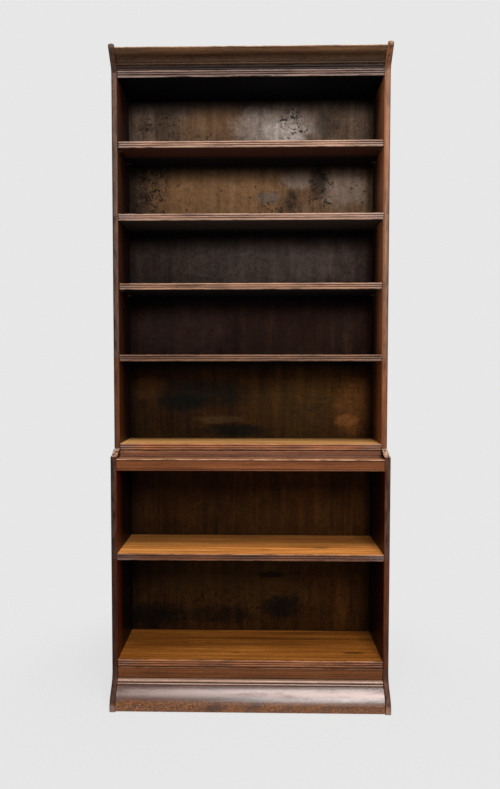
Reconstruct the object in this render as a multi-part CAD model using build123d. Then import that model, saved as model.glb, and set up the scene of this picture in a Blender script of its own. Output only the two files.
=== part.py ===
from build123d import *
import math
import os

# A stacking oak bookcase: a plinth, five open-fronted sections and a cornice, each lifting off the last.
# Frame: origin under the middle of the case on the floor, X to the right, the open front faces -Y, Z up.
# All sizes are in millimetres.

# Overall case
CASE_WIDTH = 914.0
END_THICKNESS = 20.0
TOE_PROJECTION = 55.0
LOWER_DEPTH = 304.0
UPPER_SETBACK = 70.0
NOSE_PROJECTION = 52.0
TOTAL_HEIGHT = 2157.0

# Heights of the seams between the units, from the plinth's top edge up
PLINTH_SEAM = 130.0
LOW_SECTION_HEIGHT = 360.0
MIDDLE_SECTION_HEIGHT = 303.0
TALL_SECTION_2_HEIGHT = 468.0
TALL_SECTION_1_HEIGHT = 463.0

# How far each bottom board hangs below its own seam; the bottom section's board stands 2 above it
BOARD_DROPS = {1: 14.0, 2: 11.0, 3: 6.0, 4: 3.0, 5: -2.0}
CORNICE_DROP = 13.0
BOARD_THICKNESS = 21.0
CORNICE_BOARD_THICKNESS = 20.0
BOARD_SETBACK = 2.0
NEST_CLEARANCE = 1.0

# Backs
PANEL_THICKNESS = 9.0
PANEL_INSET = 3.0
PANEL_REBATE = 8.0
PANEL_TOP_GAP = 1.0

# Reeded front edges
BOARD_REEDS = 3
REED_BULGE = 2.0
QUIRK_WIDTH = 1.0
QUIRK_DEPTH = 1.2

# Loose shelves, standing on four studs each
SHELF_THICKNESS = 20.0
SHELF_END_GAP = 2.5
SHELF_SETBACK = 3.0
SHELF_BACK_GAP = 3.0
SHELF_UNDERSIDES = {1: 1844.0, 2: 1380.0}
STUD_RADIUS = 3.0
STUD_EMBED = 12.0
STUD_COLLAR_RADIUS = 5.5
STUD_COLLAR = 1.5
STUD_TONGUE = 12.0
STUD_TONGUE_WIDTH = 9.0
STUD_TONGUE_THICKNESS = 3.0
STUD_INSET = 35.0

# Rounded front arrises of the end boards, and the slighter ones on section 4's ogees
ARRIS = 6.5
OGEE_ARRIS = 4.0
MATCH = 0.01

# Dowels that locate one unit on the next
DOWEL_RADIUS = 5.0
DOWEL_CLEARANCE = 0.3
DOWEL_EMBED = 16.0
DOWEL_STAND = 10.0
DOWEL_TIP = 1.5
DOWEL_HOLE_DEPTH = 12.0
DOWEL_INSET = 45.0

# Round-head screws that hold the backs
SCREW_HEAD_RADIUS = 3.6
SCREW_HEAD_HEIGHT = 1.6
SCREW_SHANK_RADIUS = 1.5
SCREW_LENGTH = 24.0
SCREW_SLOT_WIDTH = 0.8
SCREW_SLOT_DEPTH = 0.7
SCREW_HEAD_ROUND = 1.1
SCREWS_PER_SIDE = 3
SCREWS_ALONG_BOARD = 5
SCREW_END_MARGIN = 45.0

# Ogee that steps section 4's ends out from the upper front to the lower front
OGEE_TOE = 9.0
OGEE_SHOULDER = 10.0
OGEE_BOW_SHARE = 0.125

# Ledge above section 4
LEDGE_HEIGHT_BELOW_SEAM = 29.0
LEDGE_THICKNESS = 14.0
FRONT_RAIL_HEIGHT = 38.0
FRONT_RAIL_THICKNESS = 18.0
RAIL_BEAD = 2.4
RISER_THICKNESS = 12.0
RISER_SETBACK = 3.0
RISER_GAP = 3.0

# Plinth front, as projections from the lower front and heights from the floor
PLINTH_FLOOR_GAP = 3.0
FRIEZE_BOTTOM = 91.0
FRIEZE_TOP = 128.0
FRIEZE_SETBACK = 2.0
FRIEZE_THICKNESS = 18.0
BEAD_QUIRK = 1.8
UPPER_BEAD_RADIUS = 3.3
UPPER_BEAD_BASE = 5.0
LOWER_BEAD_RADIUS = 2.3
LOWER_BEAD_BASE = 10.0
TORUS_TOP = 74.0
TORUS_SHOULDER = 15.0
TORUS_NOSE = 52.0
TORUS_TURN = 26.0
TORUS_BOW = 4.6
RAIL_FLOOR_GAP = 6.0
TOE_S_RADIUS = 70.0
TOE_LINE_SUM = 91.0
TOE_ROUND = 3.0

# Cornice front, as projections from the upper front and heights above the cornice seam
NOSE_RADIUS = 8.0
NOSE_RISE = 11.0
CORNICE_FRIEZE_HEIGHT = 16.0
CORNICE_FRIEZE_REEDS = 2
CORNICE_FRIEZE_THICKNESS = 14.0
MOULDING_BEAD_RADIUS = 3.0
MOULDING_BASE = 3.0
MOULDING_PROJECTION = 46.0
MOULDING_FILLET = 4.0
MOULDING_BOW = 3.0
MOULDING_BACK = 16.0
TOP_PANEL_THICKNESS = 10.0
TOP_PANEL_DROP = 2.0

# Softwood rails and glue blocks
RAIL_THICKNESS = 15.0
BLOCK_SIZE = 18.0
BLOCK_LENGTH = 45.0
BLOCKS_PER_ROW = 5

# The sweeps of the plinth's and cornice's ends turn through an eighth of a circle
SWEEP = math.radians(45)
HALF_SWEEP = SWEEP / 2

# Worked out from the sizes above
HALF_WIDTH = CASE_WIDTH / 2
INNER_HALF = HALF_WIDTH - END_THICKNESS
OVERALL_DEPTH = LOWER_DEPTH + TOE_PROJECTION
LOWER_FRONT = -OVERALL_DEPTH / 2 + TOE_PROJECTION
UPPER_FRONT = LOWER_FRONT + UPPER_SETBACK
BACK = OVERALL_DEPTH / 2
PANEL_BACK = BACK - PANEL_INSET
PANEL_FRONT = PANEL_BACK - PANEL_THICKNESS
SEAM_5 = PLINTH_SEAM
SEAM_4 = SEAM_5 + LOW_SECTION_HEIGHT
SEAM_3 = SEAM_4 + LOW_SECTION_HEIGHT
SEAM_2 = SEAM_3 + MIDDLE_SECTION_HEIGHT
SEAM_1 = SEAM_2 + TALL_SECTION_2_HEIGHT
CORNICE_SEAM = SEAM_1 + TALL_SECTION_1_HEIGHT
SECTION_BOTTOMS = {1: SEAM_1, 2: SEAM_2, 3: SEAM_3, 4: SEAM_4, 5: SEAM_5}
SECTION_TOPS = {1: CORNICE_SEAM, 2: SEAM_1, 3: SEAM_2, 4: SEAM_3, 5: SEAM_4}
SECTION_FRONTS = {1: UPPER_FRONT, 2: UPPER_FRONT, 3: UPPER_FRONT, 4: LOWER_FRONT, 5: LOWER_FRONT}
DOWEL_PLACES = [UPPER_FRONT + DOWEL_INSET, PANEL_FRONT - DOWEL_INSET]
SIDES = {"left": -1.0, "right": 1.0}

parts = {}


def block(x0, x1, y0, y1, z0, z1):
    """A box between two corners."""
    return Pos((x0 + x1) / 2, (y0 + y1) / 2, (z0 + z1) / 2) * Box(x1 - x0, y1 - y0, z1 - z0)


def run(edges, half_length, centre=0.0):
    """A closed outline of edges in (Y, Z), run along X to both sides of the centre."""
    face = make_face([Plane.YZ * edge for edge in edges])
    return Pos(centre, 0, 0) * extrude(face, amount=half_length, both=True)


def arc_run(points_and_mids):
    """Edges through a list of (start, middle or None, end): an arc where there is a middle."""
    edges = []
    for start, middle, end in points_and_mids:
        if middle is None:
            edges.append(Line(start, end))
        else:
            edges.append(ThreePointArc(start, middle, end))
    return edges


def group(solids):
    """Separate solids kept together as one node."""
    return Compound(children=list(solids))


def end_board(side, outline):
    """One end board with the given (Y, Z) outline."""
    centre = SIDES[side] * (HALF_WIDTH - END_THICKNESS / 2)
    return run(outline, END_THICKNESS / 2, centre)


def soften(board, outline, radius):
    """Rounds the two long arrises that follow the given stretch of the outline."""
    places = [(Plane.YZ * edge).center() for edge in outline]
    chosen = []
    for edge in board.edges():
        middle = edge.center()
        near = [p for p in places if abs(p.Y - middle.Y) < MATCH and abs(p.Z - middle.Z) < MATCH]
        if near:
            chosen.append(edge)
    return fillet(chosen, radius)


def cut_rebate(board, side, z0, z1):
    """Takes the rebate for the back panel out of an end board's inner back edge."""
    inner = SIDES[side] * INNER_HALF
    outer = SIDES[side] * (INNER_HALF + PANEL_REBATE)
    return board - block(min(inner, outer), max(inner, outer), PANEL_FRONT, BACK, z0, z1)


def dowel_places(side):
    """Where the dowels stand in an end board's edge, as (X, Y)."""
    return [(SIDES[side] * (HALF_WIDTH - END_THICKNESS / 2), y) for y in DOWEL_PLACES]


def drill(board, side, z, radius, depth, upward):
    """Blind dowel holes in the top edge (down) or the bottom edge (up) of an end board."""
    for x, y in dowel_places(side):
        middle = z + depth / 2 if upward else z - depth / 2
        board = board - Pos(x, y, middle) * Cylinder(radius, depth)
    return board


def dowels(z):
    """The four dowels glued in a unit's top edges."""
    solids = []
    for side in SIDES:
        for x, y in dowel_places(side):
            length = DOWEL_EMBED + DOWEL_STAND
            pin = Cylinder(DOWEL_RADIUS, length)
            pin = chamfer(pin.edges().filter_by(GeomType.CIRCLE).sort_by(Axis.Z)[-1], DOWEL_TIP)
            solids.append(Pos(x, y, z - DOWEL_EMBED + length / 2) * pin)
    return group(solids)


def reeded_outline(front, back, bottom, top, reeds):
    """A board's (Y, Z) outline with its front edge worked into round reeds with quirks between."""
    pitch = (top - bottom) / reeds
    valley = front + REED_BULGE
    steps = [((back, bottom), None, (valley, bottom))]
    for i in range(reeds):
        low = bottom + i * pitch + (QUIRK_WIDTH / 2 if i > 0 else 0.0)
        high = bottom + (i + 1) * pitch - (QUIRK_WIDTH / 2 if i < reeds - 1 else 0.0)
        steps.append(((valley, low), (front, (low + high) / 2), (valley, high)))
        if i < reeds - 1:
            deep = valley + QUIRK_DEPTH
            steps.append(((valley, high), None, (deep, high)))
            steps.append(((deep, high), None, (deep, high + QUIRK_WIDTH)))
            steps.append(((deep, high + QUIRK_WIDTH), None, (valley, high + QUIRK_WIDTH)))
    steps.append(((valley, top), None, (back, top)))
    steps.append(((back, top), None, (back, bottom)))
    return arc_run(steps)


def nested_board(front, bottom, thickness, drop):
    """A reeded bottom board; the part that hangs below the seam clears the ends and back below it."""
    board = run(reeded_outline(front, PANEL_FRONT, bottom, bottom + thickness, BOARD_REEDS), INNER_HALF)
    if drop > 0:
        seam = bottom + drop
        for sign in SIDES.values():
            inner = sign * (INNER_HALF - NEST_CLEARANCE)
            outer = sign * INNER_HALF
            board = board - block(min(inner, outer), max(inner, outer), front, PANEL_FRONT, bottom, seam)
        relieved = PANEL_FRONT - NEST_CLEARANCE
        board = board - block(-INNER_HALF, INNER_HALF, relieved, PANEL_FRONT, bottom, seam)
    return board


def screw(x, y, z):
    """A round-head slotted screw driven forward into the back at (x, y, z)."""
    head = Pos(0, 0, SCREW_HEAD_HEIGHT / 2) * Cylinder(SCREW_HEAD_RADIUS, SCREW_HEAD_HEIGHT)
    rim = head.edges().filter_by(GeomType.CIRCLE).sort_by(Axis.Z)[-1]
    head = fillet(rim, SCREW_HEAD_ROUND)
    slot_z = SCREW_HEAD_HEIGHT - SCREW_SLOT_DEPTH / 2
    head = head - Pos(0, 0, slot_z) * Box(2 * SCREW_HEAD_RADIUS, SCREW_SLOT_WIDTH, SCREW_SLOT_DEPTH)
    shank = Pos(0, 0, -SCREW_LENGTH / 2) * Cylinder(SCREW_SHANK_RADIUS, SCREW_LENGTH)
    return Pos(x, y, z) * Rot(-90, 0, 0) * (head + shank)


def back_screws(bottom, top, board_middle):
    """The screws round one back panel: up both sides and along the board."""
    solids = []
    for sign in SIDES.values():
        for i in range(SCREWS_PER_SIDE):
            z = bottom + SCREW_END_MARGIN + (top - bottom - 2 * SCREW_END_MARGIN) * i / (SCREWS_PER_SIDE - 1)
            solids.append(screw(sign * (INNER_HALF + PANEL_REBATE / 2), PANEL_BACK, z))
    for i in range(SCREWS_ALONG_BOARD):
        reach = INNER_HALF - 2 * SCREW_END_MARGIN
        x = -reach + 2 * reach * i / (SCREWS_ALONG_BOARD - 1)
        solids.append(screw(x, PANEL_BACK, board_middle))
    return group(solids)


def plain_end_outline(front, bottom, top):
    """A straight end board: its outline and the front line."""
    front_edge = Line((front, bottom), (front, top))
    rest = [
        Line((front, top), (BACK, top)),
        Line((BACK, top), (BACK, bottom)),
        Line((BACK, bottom), (front, bottom)),
    ]
    return [front_edge] + rest, [front_edge]


def ogee_end_outline(bottom, top):
    """Section 4's end, stepping back in an ogee at the top: its outline, front line and ogee."""
    shoulder = LEDGE_HEIGHT_BELOW_SEAM - OGEE_SHOULDER
    low = (LOWER_FRONT, top - shoulder)
    lip = (LOWER_FRONT + OGEE_TOE, top - shoulder)
    high = (UPPER_FRONT, top)
    middle = ((lip[0] + high[0]) / 2, (lip[1] + high[1]) / 2)
    bow = (high[1] - lip[1]) * OGEE_BOW_SHARE
    front_steps = [
        ((LOWER_FRONT, bottom), None, low),
        (low, None, lip),
        (lip, ((lip[0] + middle[0]) / 2, (lip[1] + middle[1]) / 2 - bow), middle),
        (middle, ((middle[0] + high[0]) / 2, (middle[1] + high[1]) / 2 + bow), high),
    ]
    front_edges = arc_run(front_steps)
    rest = [
        Line(high, (BACK, top)),
        Line((BACK, top), (BACK, bottom)),
        Line((BACK, bottom), (LOWER_FRONT, bottom)),
    ]
    return front_edges + rest, front_edges[:1], front_edges[2:]


def build_section(number):
    """One section: two ends, a bottom board, a back, its screws and the dowels on top."""
    bottom = SECTION_BOTTOMS[number]
    top = SECTION_TOPS[number]
    front = SECTION_FRONTS[number]
    drop = BOARD_DROPS[number]
    name = f"section_{number}"
    for side in SIDES:
        if number == 4:
            outline, front_line, ogee = ogee_end_outline(bottom, top)
            board = soften(end_board(side, outline), front_line, ARRIS)
            board = soften(board, ogee, OGEE_ARRIS)
        else:
            outline, front_line = plain_end_outline(front, bottom, top)
            board = soften(end_board(side, outline), front_line, ARRIS)
        board = cut_rebate(board, side, bottom, top)
        board = drill(board, side, top, DOWEL_RADIUS, DOWEL_EMBED, upward=False)
        board = drill(board, side, bottom, DOWEL_RADIUS + DOWEL_CLEARANCE, DOWEL_HOLE_DEPTH, upward=True)
        parts[f"{name}_{side}_end"] = board
    board_bottom = bottom - drop
    parts[f"{name}_board"] = nested_board(front + BOARD_SETBACK, board_bottom, BOARD_THICKNESS, drop)
    panel_half = INNER_HALF + PANEL_REBATE
    panel_top = top - PANEL_TOP_GAP
    parts[f"{name}_back"] = block(-panel_half, panel_half, PANEL_FRONT, PANEL_BACK, bottom, panel_top)
    parts[f"{name}_back_screws"] = back_screws(bottom, top, board_bottom + (BOARD_THICKNESS + drop) / 2)
    parts[f"{name}_dowels"] = dowels(top)


def shelf_stud(sign, y, top):
    """A shelf stud: a shank in the end board, a collar and a flat tongue under the shelf."""
    wall = sign * INNER_HALF
    middle = top - STUD_TONGUE_THICKNESS / 2
    shank = Pos(wall + sign * STUD_EMBED / 2, y, middle) * Rot(0, 90, 0) * Cylinder(STUD_RADIUS, STUD_EMBED)
    collar_x = wall - sign * STUD_COLLAR / 2
    collar = Pos(collar_x, y, middle) * Rot(0, 90, 0) * Cylinder(STUD_COLLAR_RADIUS, STUD_COLLAR)
    reach = STUD_COLLAR_RADIUS
    above = block(-HALF_WIDTH, HALF_WIDTH, y - reach, y + reach, top, top + reach)
    tongue_x = wall - sign * (STUD_COLLAR + STUD_TONGUE / 2)
    tongue = Pos(tongue_x, y, middle) * Box(STUD_TONGUE, STUD_TONGUE_WIDTH, STUD_TONGUE_THICKNESS)
    return shank + (collar - above) + tongue


def build_loose_shelf(number):
    """The loose shelf in the middle of a tall section, and the four studs under it."""
    bottom = SHELF_UNDERSIDES[number]
    front = UPPER_FRONT + SHELF_SETBACK
    back = PANEL_FRONT - SHELF_BACK_GAP
    outline = reeded_outline(front, back, bottom, bottom + SHELF_THICKNESS, BOARD_REEDS)
    parts[f"section_{number}_shelf"] = run(outline, INNER_HALF - SHELF_END_GAP)
    studs = []
    for sign in SIDES.values():
        for y in (front + STUD_INSET, back - STUD_INSET):
            studs.append(shelf_stud(sign, y, bottom))
    parts[f"section_{number}_shelf_studs"] = group(studs)


def beaded_rail_outline(front, back, bottom, top, bead, at_top):
    """A rail's (Y, Z) outline with a round bead along its bottom edge and, if asked, its top edge."""
    face = front + bead / 2
    steps = [
        ((back, bottom), None, (face, bottom)),
        ((face, bottom), (front - bead / 2, bottom + bead), (face, bottom + 2 * bead)),
    ]
    if at_top:
        steps.append(((face, bottom + 2 * bead), None, (face, top - 2 * bead)))
        steps.append(((face, top - 2 * bead), (front - bead / 2, top - bead), (face, top)))
    else:
        steps.append(((face, bottom + 2 * bead), None, (face, top)))
    steps.append(((face, top), None, (back, top)))
    steps.append(((back, top), None, (back, bottom)))
    return arc_run(steps)


def corner_block(half_length, x, corner, toward_y, toward_z):
    """A triangular glue block along X, with its square corner at (Y, Z) corner."""
    y, z = corner
    points = [(y, z), (y + toward_y * BLOCK_SIZE, z), (y, z + toward_z * BLOCK_SIZE)]
    edges = [Line(points[i], points[(i + 1) % 3]) for i in range(3)]
    return run(edges, half_length, x)


def block_row(corner, toward_y, toward_z):
    """A row of glue blocks evenly spaced between the ends."""
    solids = []
    for i in range(BLOCKS_PER_ROW):
        x = -INNER_HALF + 2 * INNER_HALF * (i + 0.5) / BLOCKS_PER_ROW
        solids.append(corner_block(BLOCK_LENGTH / 2, x, corner, toward_y, toward_z))
    return solids


def build_ledge():
    """Section 4's ledge: the riser under section 3, the ledge board and the beaded front rail."""
    ledge_top = SEAM_3 - LEDGE_HEIGHT_BELOW_SEAM
    rail_front = LOWER_FRONT + BOARD_SETBACK
    rail_back = rail_front + FRONT_RAIL_THICKNESS
    rail_bottom = ledge_top - FRONT_RAIL_HEIGHT
    rail = beaded_rail_outline(rail_front, rail_back, rail_bottom, ledge_top, RAIL_BEAD, at_top=True)
    parts["section_4_front_rail"] = run(rail, INNER_HALF)
    riser_front = UPPER_FRONT + RISER_SETBACK
    riser_top = SEAM_3 - BOARD_DROPS[3] - RISER_GAP
    riser_back = riser_front + RISER_THICKNESS
    riser = beaded_rail_outline(riser_front, riser_back, ledge_top, riser_top, RAIL_BEAD, at_top=False)
    parts["section_4_riser"] = run(riser, INNER_HALF)
    ledge_bottom = ledge_top - LEDGE_THICKNESS
    parts["section_4_ledge"] = block(-INNER_HALF, INNER_HALF, rail_back, riser_back, ledge_bottom, ledge_top)
    parts["section_4_glue_blocks"] = group(block_row((rail_back, ledge_bottom), 1, -1))


def toe_outline():
    """A plinth end: an S sweep forward from the section above down to an upright toe."""
    rise = TOE_S_RADIUS * math.sin(SWEEP)
    reach = TOE_S_RADIUS * (1 - math.cos(SWEEP))
    start = (LOWER_FRONT, TOE_LINE_SUM + rise - reach)
    hollow_end = (LOWER_FRONT - reach, start[1] - rise)
    hollow_middle = (
        LOWER_FRONT - TOE_S_RADIUS * (1 - math.cos(HALF_SWEEP)),
        start[1] - TOE_S_RADIUS * math.sin(HALF_SWEEP),
    )
    toe_front = LOWER_FRONT - TOE_PROJECTION
    swell_start = (toe_front + reach, TOE_LINE_SUM - TOE_PROJECTION + reach)
    swell_end = (toe_front, swell_start[1] - rise)
    swell_middle = (
        toe_front + TOE_S_RADIUS * (1 - math.cos(HALF_SWEEP)),
        swell_end[1] + TOE_S_RADIUS * math.sin(HALF_SWEEP),
    )
    front_steps = [
        ((LOWER_FRONT, PLINTH_SEAM), None, start),
        (start, hollow_middle, hollow_end),
        (hollow_end, None, swell_start),
        (swell_start, swell_middle, swell_end),
        (swell_end, None, (toe_front, TOE_ROUND)),
    ]
    front_edges = arc_run(front_steps)
    rest = [
        Line((toe_front, TOE_ROUND), (toe_front + TOE_ROUND, 0)),
        Line((toe_front + TOE_ROUND, 0), (BACK, 0)),
        Line((BACK, 0), (BACK, PLINTH_SEAM)),
        Line((BACK, PLINTH_SEAM), (LOWER_FRONT, PLINTH_SEAM)),
    ]
    return front_edges + rest, front_edges


def build_plinth():
    """The plinth: two toed ends, a frieze over a bead strip over a large torus, rails and blocks."""
    for side in SIDES:
        outline, soft = toe_outline()
        board = soften(end_board(side, outline), soft, ARRIS)
        board = drill(board, side, PLINTH_SEAM, DOWEL_RADIUS, DOWEL_EMBED, upward=False)
        parts[f"plinth_{side}_end"] = board
    parts["plinth_dowels"] = dowels(PLINTH_SEAM)
    frieze_front = LOWER_FRONT + FRIEZE_SETBACK
    frieze_back = frieze_front + FRIEZE_THICKNESS
    bead = RAIL_BEAD / 2
    frieze = beaded_rail_outline(frieze_front, frieze_back, FRIEZE_BOTTOM, FRIEZE_TOP, bead, at_top=True)
    parts["plinth_frieze"] = run(frieze, INNER_HALF)
    parts["plinth_bead_strip"] = run(bead_strip_outline(), INNER_HALF)
    parts["plinth_torus"] = run(torus_outline(), INNER_HALF)
    rail_back = LOWER_FRONT + FRIEZE_THICKNESS
    parts["plinth_front_rail"] = block(
        -INNER_HALF, INNER_HALF, LOWER_FRONT, rail_back, RAIL_FLOOR_GAP, FRIEZE_BOTTOM
    )
    back_rail_front = PANEL_FRONT - RAIL_THICKNESS
    parts["plinth_back_rail"] = block(
        -INNER_HALF, INNER_HALF, back_rail_front, PANEL_FRONT, RAIL_FLOOR_GAP, FRIEZE_TOP
    )
    parts["plinth_glue_blocks"] = group(plinth_blocks(rail_back, back_rail_front))


def plinth_blocks(rail_back, back_rail_front):
    """Upright triangular blocks in the plinth's four inner corners."""
    solids = []
    for sign in SIDES.values():
        for y, toward in ((rail_back, 1.0), (back_rail_front, -1.0)):
            x = sign * INNER_HALF
            corners = [(x, y), (x - sign * BLOCK_SIZE, y), (x, y + toward * BLOCK_SIZE)]
            face = make_face([Line(corners[i], corners[(i + 1) % 3]) for i in range(3)])
            upright = extrude(face, amount=FRIEZE_BOTTOM - 2 * RAIL_FLOOR_GAP, dir=(0, 0, 1))
            solids.append(Pos(0, 0, RAIL_FLOOR_GAP) * upright)
    return solids


def bead_strip_outline():
    """Two round beads, the lower one further out, each with a quirk above it."""
    upper = LOWER_FRONT - UPPER_BEAD_BASE
    lower = LOWER_FRONT - LOWER_BEAD_BASE
    upper_top = FRIEZE_BOTTOM - BEAD_QUIRK
    upper_low = upper_top - 2 * UPPER_BEAD_RADIUS
    lower_top = upper_low - BEAD_QUIRK
    lower_low = lower_top - 2 * LOWER_BEAD_RADIUS
    upper_nose = (upper - UPPER_BEAD_RADIUS, upper_top - UPPER_BEAD_RADIUS)
    lower_nose = (lower - LOWER_BEAD_RADIUS, lower_top - LOWER_BEAD_RADIUS)
    neck = LOWER_FRONT - UPPER_BEAD_BASE / 2
    steps = [
        ((LOWER_FRONT, FRIEZE_BOTTOM), None, (neck, FRIEZE_BOTTOM)),
        ((neck, FRIEZE_BOTTOM), None, (neck, upper_top)),
        ((neck, upper_top), None, (upper, upper_top)),
        ((upper, upper_top), upper_nose, (upper, upper_low)),
        ((upper, upper_low), None, (upper, lower_top)),
        ((upper, lower_top), None, (lower, lower_top)),
        ((lower, lower_top), lower_nose, (lower, lower_low)),
        ((lower, lower_low), None, (lower, TORUS_TOP)),
        ((lower, TORUS_TOP), None, (LOWER_FRONT, TORUS_TOP)),
        ((LOWER_FRONT, TORUS_TOP), None, (LOWER_FRONT, FRIEZE_BOTTOM)),
    ]
    return arc_run(steps)


def torus_outline():
    """The large swelling moulding, which leans out over an upright face."""
    shoulder = (LOWER_FRONT - TORUS_SHOULDER, TORUS_TOP)
    turn = (LOWER_FRONT - TORUS_NOSE, TORUS_TURN)
    run_out = shoulder[0] - turn[0]
    fall = shoulder[1] - turn[1]
    length = math.hypot(run_out, fall)
    middle = (
        (shoulder[0] + turn[0]) / 2 - TORUS_BOW * fall / length,
        (shoulder[1] + turn[1]) / 2 + TORUS_BOW * run_out / length,
    )
    steps = [
        ((LOWER_FRONT, TORUS_TOP), None, shoulder),
        (shoulder, middle, turn),
        (turn, None, (turn[0], PLINTH_FLOOR_GAP)),
        ((turn[0], PLINTH_FLOOR_GAP), None, (LOWER_FRONT, PLINTH_FLOOR_GAP)),
        ((LOWER_FRONT, PLINTH_FLOOR_GAP), None, (LOWER_FRONT, TORUS_TOP)),
    ]
    return arc_run(steps)


def nose_outline():
    """A cornice end: a sweep forward and up to a rounded nose that stands above the moulding."""
    flat_top = TOTAL_HEIGHT - NOSE_RISE
    centre = (UPPER_FRONT - NOSE_PROJECTION + NOSE_RADIUS, TOTAL_HEIGHT - NOSE_RADIUS)
    eighth = NOSE_RADIUS * math.cos(SWEEP)
    tangent = (centre[0] - eighth, centre[1] - eighth)
    line_start = tangent[1] - (UPPER_FRONT - tangent[0])
    cove_radius = (line_start - CORNICE_SEAM) / (math.sqrt(2) - 1)
    reach = cove_radius * (1 - math.cos(SWEEP))
    cove_start = (UPPER_FRONT, CORNICE_SEAM)
    cove_end = (UPPER_FRONT - reach, line_start + reach)
    cove_middle = (
        UPPER_FRONT - cove_radius * (1 - math.cos(HALF_SWEEP)),
        CORNICE_SEAM + cove_radius * math.sin(HALF_SWEEP),
    )
    nose_back = (centre[0] + NOSE_RADIUS, centre[1])
    front_steps = [
        (cove_start, cove_middle, cove_end),
        (cove_end, None, tangent),
        (tangent, (centre[0] - eighth, centre[1] + eighth), (centre[0], TOTAL_HEIGHT)),
        ((centre[0], TOTAL_HEIGHT), (centre[0] + eighth, centre[1] + eighth), nose_back),
    ]
    front_edges = arc_run(front_steps)
    rest = [
        Line(nose_back, (nose_back[0], flat_top)),
        Line((nose_back[0], flat_top), (BACK, flat_top)),
        Line((BACK, flat_top), (BACK, CORNICE_SEAM)),
        Line((BACK, CORNICE_SEAM), (UPPER_FRONT, CORNICE_SEAM)),
    ]
    return front_edges + rest, front_edges


def cornice_moulding_outline(bottom, top):
    """The crown moulding: a bead, a hollow that swells outward, and a fillet along the top."""
    front = UPPER_FRONT - MOULDING_PROJECTION
    base = UPPER_FRONT - MOULDING_BASE
    bead_top = bottom + 2 * MOULDING_BEAD_RADIUS
    fillet_bottom = top - MOULDING_FILLET
    shelf = front + MOULDING_FILLET / 2
    middle = ((base + shelf) / 2, (bead_top + fillet_bottom) / 2)
    length = math.hypot(base - shelf, fillet_bottom - bead_top)
    bow_y = MOULDING_BOW * (fillet_bottom - bead_top) / length
    bow_z = MOULDING_BOW * (base - shelf) / length
    hollow = ((base + middle[0]) / 2 + bow_y, (bead_top + middle[1]) / 2 + bow_z)
    swell = ((shelf + middle[0]) / 2 - bow_y, (fillet_bottom + middle[1]) / 2 - bow_z)
    back = UPPER_FRONT + MOULDING_BACK
    notch_back = UPPER_FRONT + MOULDING_BASE
    notch_bottom = top - TOP_PANEL_DROP - TOP_PANEL_THICKNESS
    steps = [
        ((back, bottom), None, (base, bottom)),
        ((base, bottom), (base - MOULDING_BEAD_RADIUS, bottom + MOULDING_BEAD_RADIUS), (base, bead_top)),
        ((base, bead_top), hollow, middle),
        (middle, swell, (shelf, fillet_bottom)),
        ((shelf, fillet_bottom), None, (front, fillet_bottom)),
        ((front, fillet_bottom), None, (front, top)),
        ((front, top), None, (notch_back, top)),
        ((notch_back, top), None, (notch_back, notch_bottom)),
        ((notch_back, notch_bottom), None, (back, bead_top)),
        ((back, bead_top), None, (back, bottom)),
    ]
    return arc_run(steps)


def build_cornice():
    """The cornice: nosed ends, a reeded board and frieze, the crown moulding, a top and a back rail."""
    flat_top = TOTAL_HEIGHT - NOSE_RISE
    for side in SIDES:
        outline, soft = nose_outline()
        board = soften(end_board(side, outline), soft, ARRIS)
        board = drill(
            board, side, CORNICE_SEAM, DOWEL_RADIUS + DOWEL_CLEARANCE, DOWEL_HOLE_DEPTH, upward=True
        )
        parts[f"cornice_{side}_end"] = board
    board_bottom = CORNICE_SEAM - CORNICE_DROP
    board_top = board_bottom + CORNICE_BOARD_THICKNESS
    board_front = UPPER_FRONT + BOARD_SETBACK
    parts["cornice_board"] = nested_board(board_front, board_bottom, CORNICE_BOARD_THICKNESS, CORNICE_DROP)
    frieze_top = board_top + CORNICE_FRIEZE_HEIGHT
    frieze_back = board_front + CORNICE_FRIEZE_THICKNESS
    frieze = reeded_outline(board_front, frieze_back, board_top, frieze_top, CORNICE_FRIEZE_REEDS)
    parts["cornice_frieze"] = run(frieze, INNER_HALF)
    parts["cornice_moulding"] = run(cornice_moulding_outline(frieze_top, flat_top), INNER_HALF)
    panel_top = flat_top - TOP_PANEL_DROP
    panel_bottom = panel_top - TOP_PANEL_THICKNESS
    panel_front = UPPER_FRONT + MOULDING_BASE
    parts["cornice_top_panel"] = block(-INNER_HALF, INNER_HALF, panel_front, BACK, panel_bottom, panel_top)
    rail_front = PANEL_FRONT - RAIL_THICKNESS
    parts["cornice_back_rail"] = block(
        -INNER_HALF, INNER_HALF, rail_front, PANEL_FRONT, board_top, panel_bottom
    )
    parts["cornice_glue_blocks"] = group(block_row((frieze_back, board_top), 1, 1))


def main():
    """Builds every unit from the floor up and writes one STEP file for each piece."""
    build_plinth()
    for number in SECTION_BOTTOMS:
        build_section(number)
    for number in SHELF_UNDERSIDES:
        build_loose_shelf(number)
    build_ledge()
    build_cornice()
    os.makedirs("parts", exist_ok=True)
    for name, shape in parts.items():
        export_step(shape, f"parts/{name}.step")
    print(len(parts), "parts written")


main()
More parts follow.
